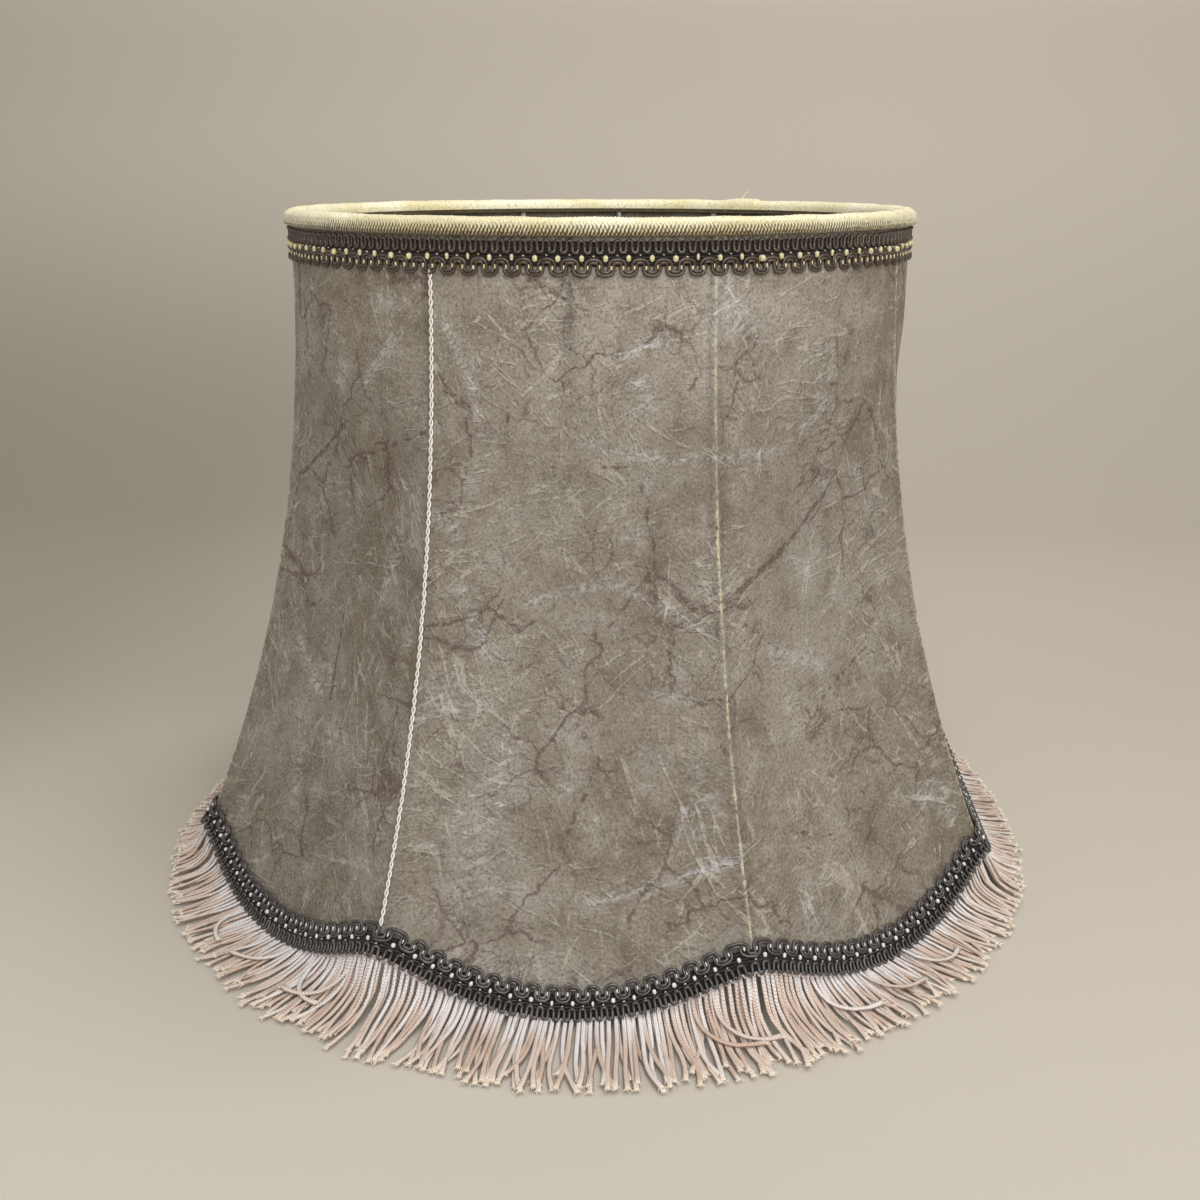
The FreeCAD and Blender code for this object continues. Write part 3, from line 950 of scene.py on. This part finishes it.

# %% [markdown]
# ## The fringe
#
# Several hundred chainette strands hang from a woven heading under the hem braid. They are longer than the
# gap to the floor, so they splay outwards and lie down. Nearly all of them point straight out, in loose
# clumps; here and there one bends across its neighbours. A strand is a flat oval swept along twelve stops
# from its root to its cut end, where the fibres open into a small brush. A second, thinner layer lies under
# the first, in a darker pink that is painted shade, so no floor shows between the roots. The narrow edges of
# every strand are painted darker too, as shade between neighbouring strands.

# %% Fringe
STRANDS, UNDER_STRANDS = 515, 280
STRAND_W, STRAND_T = 2.2, 1.35
STRAND_LENGTH = 46.0
STOPS = 12
BEND_R = 12.0  # a strand hangs, then turns on to the floor round a bend of about this radius
CHAIN_LINKS = 30  # in one strand
BRUSH_FIBRES, FIBRE_W = 5, 0.62
CROSSING = (  # the few strands that lie across others: where, and their swing at the middle and the end
    (-75.0, (58, 40)),
    (-72.5, (50, 52)),
    (-59.5, (62, 40)),
    (-52.0, (55, 50)),
    (-44.0, (60, 60)),
    (-122.0, (40, 62)),
    (-116.5, (-52, -50)),
    (-128.0, (-60, -20)),
    (-140.0, (48, 40)),
    (20.0, (55, 40)),
    (75.0, (-60, -30)),
    (130.0, (52, 45)),
    (188.0, (-55, -40)),
)
random.seed(4217)


def chainette():
    finish = Finish("pink_chainette")
    where = finish.node("ShaderNodeTexCoord", {}, {}, "Object")
    along = finish.attribute("along")
    tone_and_shade = finish.attribute("tone_and_shade")
    across = abs(finish.attribute("across"))
    link = along.math("FRACT", along * CHAIN_LINKS + across * 0.8)
    knit = abs(link - 0.5) * 2.0
    knit = knit * 0.7 + across.step(0.0, 0.25) * 0.3 + finish.noise(where, 1400.0, 2.0) * 0.3
    stain = finish.noise(where, 26.0, 4.0, 0.6)
    root = along + (finish.noise(where, 12.0, 2.0) - 0.5) * 1.1 + (tone_and_shade - 0.5) * 0.5
    colour = finish.mix(root.step(0.12, 0.52), srgb(245, 239, 235), srgb(231, 211, 195))
    # Darker pink for the darker strands, which include every under-layer strand as painted shade.
    colour = finish.mix(tone_and_shade.step(0.60, 1.0) * along.step(0.05, 0.5) * 0.75, colour, srgb(208, 174, 149))
    colour = finish.mix(stain.step(0.56, 0.74) * 0.45, colour, srgb(204, 164, 136))
    colour = finish.mix(tone_and_shade.step(0.35, 0.05) * 0.65, colour, srgb(248, 241, 234))
    colour = finish.mix(along.step(0.93, 1.0) * 0.7, colour, srgb(238, 226, 204))
    colour = finish.mix(knit.step(0.55, 0.15) * 0.62, colour, srgb(150, 118, 100))
    # Painted shade: each strand's narrow edges darker, as between neighbouring strands.
    colour = finish.mix(across.step(0.45, 1.0) * 0.75, colour, srgb(112, 86, 70))
    return finish.surface(
        {
            "Base Color": colour,
            "Roughness": 0.40 + knit * 0.15,
            "Normal": finish.bump(knit, 0.8, 0.0005),
            "Sheen Weight": 0.3,
        }
    )


def strand_profile():
    """The flat oval that a strand is swept from."""
    data = bpy.data.curves.new("strand_oval", "CURVE")
    spline = data.splines.new("POLY")
    spline.points.add(5)
    spline.use_cyclic_u = True
    for i, point in enumerate(spline.points):
        a = 2 * math.pi * i / 6
        point.co = (STRAND_W / 2 * math.cos(a) * MM, STRAND_T / 2 * math.sin(a) * MM, 0, 1)
    oval = bpy.data.objects.new("strand_oval", data)
    bpy.context.scene.collection.objects.link(oval)
    return oval


def tip_radius(turn):
    """How far from the axis the tips lie. In front they lie furthest out, combed by a push from behind."""
    front = max(math.cos(turn + math.pi / 2), 0.0)
    return 221.0 + 27.0 * front**1.3


def strand_line(along, layer, swing=None):
    """The stops of one strand: place, share of its width, twist."""
    root = hem_track.at(along, 1.2 - layer * 0.6, 1.7 - 0.8 * layer)
    turn = math.atan2(root.y, root.x)
    clump = noise.noise(Vector((along / 11, layer * 4, 1.0)))
    wander = noise.noise(Vector((along / 3.1, layer * 7, 4.0)))
    lean = math.radians(clump * 30 + wander * 22 + random.gauss(0, 4))
    curl = math.radians(random.gauss(0, 14) - clump * 36)
    if swing:
        lean, curl = math.radians(swing[0]), math.radians(swing[1])
    floor_z = STRAND_T / 2 + 0.1 + random.random() * 1.4 + (2.2 if swing else 0.0)
    drop = max(root.z / MM - floor_z, 0.0)
    span = tip_radius(turn) - root.xy.length / MM - 2.0
    hang = 0.84 + random.random() * 0.1
    length, height = 0.0, drop
    while span > 0 and length < STRAND_LENGTH:
        down = min(height / BEND_R, hang) if height > 0.4 else 0.0
        height -= down
        span -= math.sqrt(1 - down * down)
        length += 1.0
    length *= (1 + random.gauss(0, 0.05)) * (0.92 if layer else 1.0)
    out = Vector((math.cos(turn), math.sin(turn), 0))
    side = Vector((-out.y, out.x, 0))
    place, line = root.copy(), []
    for i in range(STOPS):
        share = i / (STOPS - 1)
        lift = 0.7 * noise.noise(Vector((along / 2.0, share * 2.5, layer + 9.0))) * math.sin(share * math.pi)
        pinch = (0.92 + 0.08 * smooth(share, 0.0, 0.25)) * (1 + 0.28 * smooth(share, 0.82, 1.0))
        seen = Vector((place.x, place.y, max(place.z + lift * MM, floor_z * MM)))
        line.append((seen, pinch, random.gauss(0, 0.12)))
        height = max(place.z / MM - floor_z, 0.0)
        down = min(height / BEND_R, hang) if height > 0.4 else 0.0
        angle = lean * smooth(share, 0.05, 0.7) + curl * smooth(share, 0.4, 1.0)
        step = (out * math.cos(angle) + side * math.sin(angle)) * math.sqrt(1 - down * down)
        place += (step - Vector((0, 0, down))) * length / (STOPS - 1) * MM
    return line


def make_fringe():
    oval = strand_profile()
    lines = []
    for layer, count in ((1, UNDER_STRANDS), (0, STRANDS)):
        for n in range(count):
            along = hem_track.length * (n + random.uniform(-0.25, 0.25)) / count
            lines.append(strand_line(along, layer))
    for turn, swing in CROSSING:
        lines.append(strand_line(hem_track.length * (turn % 360) / 360, 0, swing))
    tubes = cords("strands", lines, STRAND_W, False, oval, capped=False)
    tips = []
    for line in lines:
        end, before = line[-1][0], line[-2][0]
        ahead = (end - before).normalized()
        side = ahead.cross(Vector((0, 0, 1))).normalized()
        for k in range(BRUSH_FIBRES):
            spread = (k - 2) / 2
            start = end + side * spread * STRAND_W * 0.42 * MM - ahead * 0.6 * MM
            rise = Vector((0, 0, random.uniform(-0.3, 0.5)))
            fibre = (ahead + side * spread * 0.45 + rise * 0.6).normalized() * random.uniform(1.2, 2.4)
            stop = start + fibre * MM
            stop.z = max(stop.z, 0.3 * MM)
            tips.append([(start, 1.0, 0.0), (stop, 0.45, 0.0)])
    brushes = cords("tips", tips, FIBRE_W, False, None, 0)
    whole = bmesh.new()
    whole.from_mesh(tubes)
    tube_verts = len(whole.verts)
    bmesh.ops.holes_fill(whole, edges=[e for e in whole.edges if e.is_boundary], sides=8)
    whole.from_mesh(brushes)
    whole.verts.ensure_lookup_table()
    along = whole.verts.layers.float.new("along")
    tone_and_shade = whole.verts.layers.float.new("tone_and_shade")
    across = whole.verts.layers.float.new("across")
    per_strand = tube_verts // len(lines)
    per_stop = per_strand // STOPS
    print("strands:", len(lines), "points each:", per_strand)
    tones_and_shade = [random.random() for _ in lines]
    # The under layer takes the darkest tones: painted shade beneath the top layer.
    tones_and_shade[:UNDER_STRANDS] = [0.75 + 0.25 * t for t in tones_and_shade[:UNDER_STRANDS]]
    for i, v in enumerate(whole.verts):
        if i < tube_verts:
            v[along] = (i % per_strand) // per_stop / (STOPS - 1)
            v[tone_and_shade] = tones_and_shade[i // per_strand]
            v[across] = math.cos(2 * math.pi * (i % per_stop) / per_stop)
        else:
            v[along] = 1.0
            v[tone_and_shade] = 0.4
    mesh = bpy.data.meshes.new("fringe_strands")
    whole.to_mesh(mesh)
    whole.free()
    bpy.data.objects.remove(oval)
    return show("fringe_strands", mesh, [chainette()], ["fringe"])


make_fringe()

# %% [markdown]
# The heading is the woven strip that holds the strands' roots. It lies between the skin and the braid, and
# only its lower edge shows, as a row of tiny off-white loops just under the braid.


# %% Heading
def make_heading():
    lines = []
    for row in range(6):
        points = 900
        up = 0.9 + row * 1.5
        line = []
        for i in range(points):
            wobble = noise.noise(Vector((i * 0.7, row, 6.0))) * 0.25
            line.append(hem_track.at(hem_track.length * i / points, up + wobble, 0.75))
        lines.append(line)
    loops = round_braid(hem_track, 500, 0.2, 1.6, 1.0, 0.05, 6, None, 21.0, lambda up: 1.6)
    mesh = cords("heading", lines + loops, 1.2, True, None, 0)
    finish = yarn("heading_thread", srgb(228, 222, 218), srgb(176, 158, 146), 0.55, 1400.0)
    return show("fringe_heading_tape", mesh, [finish], ["fringe_heading"])


make_heading()

# %% [markdown]
# ## The wire frame
#
# The frame's shapes are right as they come from CAD. Its wire is lacquered cream, and the lacquer has
# yellowed and chipped, so that rusty steel shows in small spots. The fitter ring and its arms are zinc
# plated.


# %% Frame finishes
def lacquered_wire():
    finish = Finish("cream_lacquered_wire")
    where = finish.node("ShaderNodeTexCoord", {}, {}, "Object")
    chips = finish.noise(where, 240.0, 4.0, 0.65).step(0.62, 0.68)
    yellow = finish.noise(where, 40.0, 3.0, 0.6)
    colour = finish.mix(yellow, srgb(214, 206, 184), srgb(190, 176, 142))
    colour = finish.mix(chips * 0.85, colour, srgb(104, 66, 44))
    return finish.surface(
        {
            "Base Color": colour,
            "Roughness": 0.35 + chips * 0.4,
            "Normal": finish.bump(chips * -1.0, 0.5, 0.0003),
        }
    )


def dulled_zinc():
    finish = Finish("dulled_zinc")
    where = finish.node("ShaderNodeTexCoord", {}, {}, "Object")
    spangle = finish.node("ShaderNodeTexVoronoi", {}, {"Vector": where, "Scale": 160.0})
    dull = finish.noise(where, 60.0, 4.0, 0.6)
    colour = finish.mix(dull.step(0.35, 0.7), srgb(172, 172, 168), srgb(128, 124, 116))
    rough = 0.3 + spangle * 0.25 + dull * 0.15
    return finish.surface({"Base Color": colour, "Roughness": rough, "Metallic": 1.0})


def refinish(node_names, material):
    for node_name in node_names:
        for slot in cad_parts[node_name].material_slots:
            slot.material = material


wires = [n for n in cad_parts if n.startswith(("rib_", "hem_arc_", "top_ring"))]
refinish(wires, lacquered_wire())
fitter = [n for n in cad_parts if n.startswith("fitter_")]
refinish(fitter, dulled_zinc())
print("lacquered:", len(wires), "zinc plated:", len(fitter))

# %% [markdown]
# ## The set
#
# The shade stands on a plain pale sweep: a floor that turns up into a wall through a wide curve, so that no
# line shows behind the shade. It is one strip, drawn as an outline and extruded sideways. Its colour is
# painted a little darker in the turn and behind the shade, most of all at the left, as painted shade.


# %% Set
def make_sweep():
    finish = Finish("plain_backdrop")
    where = finish.node("ShaderNodeTexCoord", {}, {}, "Object")
    tone = finish.noise(where, 3.0, 3.0, 0.5)
    side, depth, rise = (
        finish.node("ShaderNodeSeparateXYZ", {}, {"Vector": where}, axis) for axis in ("X", "Y", "Z")
    )
    # Painted shade: darker in the turn of the sweep.
    turn_shade = depth.step(-0.1, 1.1) * rise.step(1.5, -0.1)
    colour = finish.mix(tone, srgb(198, 191, 178), srgb(192, 185, 172))
    colour = finish.mix(turn_shade * 0.8, colour, srgb(160, 153, 139))
    # Painted shade behind the lampshade, strongest at the left.
    left = side.step(0.0, -0.5)
    behind = depth.step(-0.35, 0.2) * rise.step(0.40, 0.0)
    colour = finish.mix((left * 0.5 + 0.2) * behind, colour, srgb(118, 112, 99))
    material = finish.surface({"Base Color": colour, "Roughness": 0.85})
    sweep = bmesh.new()
    wide, front, back, bend, tall = 3.2, -3.0, 0.62, 0.5, 2.6
    outline = [(front, 0.0)]
    arc = 16
    for i in range(arc + 1):
        a = math.pi / 2 * i / arc
        outline.append((back + bend * math.sin(a), bend * (1 - math.cos(a))))
    outline.append((back + bend, tall))
    verts = [sweep.verts.new((-wide, y, z)) for y, z in outline]
    edges = [sweep.edges.new(pair) for pair in zip(verts, verts[1:])]
    grown = bmesh.ops.extrude_edge_only(sweep, edges=edges)["geom"]
    moved = [g for g in grown if isinstance(g, bmesh.types.BMVert)]
    bmesh.ops.translate(sweep, vec=(2 * wide, 0, 0), verts=moved)
    bmesh.ops.recalc_face_normals(sweep, faces=sweep.faces)
    mesh = bpy.data.meshes.new("sweep")
    sweep.to_mesh(mesh)
    sweep.free()
    mesh.materials.append(material)
    mesh.shade_smooth()
    print("sweep:", len(mesh.polygons), "faces")
    piece = bpy.data.objects.new("sweep", mesh)
    bpy.context.scene.collection.objects.link(piece)


make_sweep()
